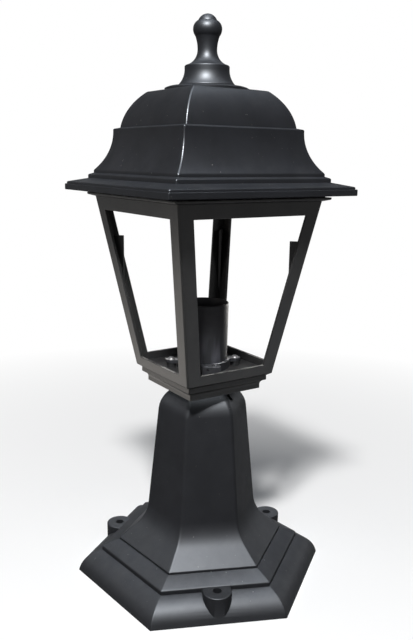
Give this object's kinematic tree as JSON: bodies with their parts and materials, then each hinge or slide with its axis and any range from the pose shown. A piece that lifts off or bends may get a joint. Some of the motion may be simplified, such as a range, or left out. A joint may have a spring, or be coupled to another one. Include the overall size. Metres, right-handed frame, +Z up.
{
  "type": "pedestal lantern",
  "caption": "Garden lantern: a square open-windowed head with a lift-off tiered roof and finial, on a flared hexagonal pedestal, with a screw-cap lamp holder inside.",
  "frame": {"origin": "centre of the underside of the pedestal, on the ground", "axes": "+Z up along the centre line, X and Y square to the windows of the lantern head, with the pedestal turned a few degrees against the head about Z"},
  "size_m": [0.219, 0.2386, 0.5112],
  "materials": {
    "housing_plastic": "black moulded plastic with a satin grain, scuffed and dusty",
    "holder_plastic": "black moulded plastic, smooth",
    "zinc_steel": "zinc-plated steel, a little dull",
    "contact_brass": "bare brass strip",
    "cap_metal": "rolled bright metal",
    "insulator_plastic": "pale heat-proof moulding, matt",
    "block_plastic": "pale moulded plastic",
    "brown_lead": "brown insulation",
    "blue_lead": "blue insulation"
  },
  "bodies": {
    "lantern": {"pedestal": "housing_plastic", "lantern_frame": "housing_plastic", "holder_base": "holder_plastic", "holder_sleeve": "holder_plastic", "stem_tube": "zinc_steel", "upper_stem_washer": "zinc_steel", "upper_stem_nut": "zinc_steel", "lower_stem_washer": "zinc_steel", "lower_stem_nut": "zinc_steel", "contact_screws": "zinc_steel", "ear_screws": "zinc_steel", "terminal_screws": "zinc_steel", "centre_contact": "contact_brass", "side_contact": "contact_brass", "cap_shell": "cap_metal", "lamp_insulator": "insulator_plastic", "terminal_block": "block_plastic", "live_lead": "brown_lead", "neutral_lead": "blue_lead"},
    "roof": {"roof_shell": "housing_plastic", "finial": "housing_plastic", "finial_stud": "zinc_steel", "finial_washer": "zinc_steel", "finial_nut": "zinc_steel"}
  },
  "joints": [
    {"name": "roof_lift", "type": "slide", "parent": "lantern", "child": "roof", "axis": [0, 0, 1], "range_m": [0, 0.1]}
  ]
}
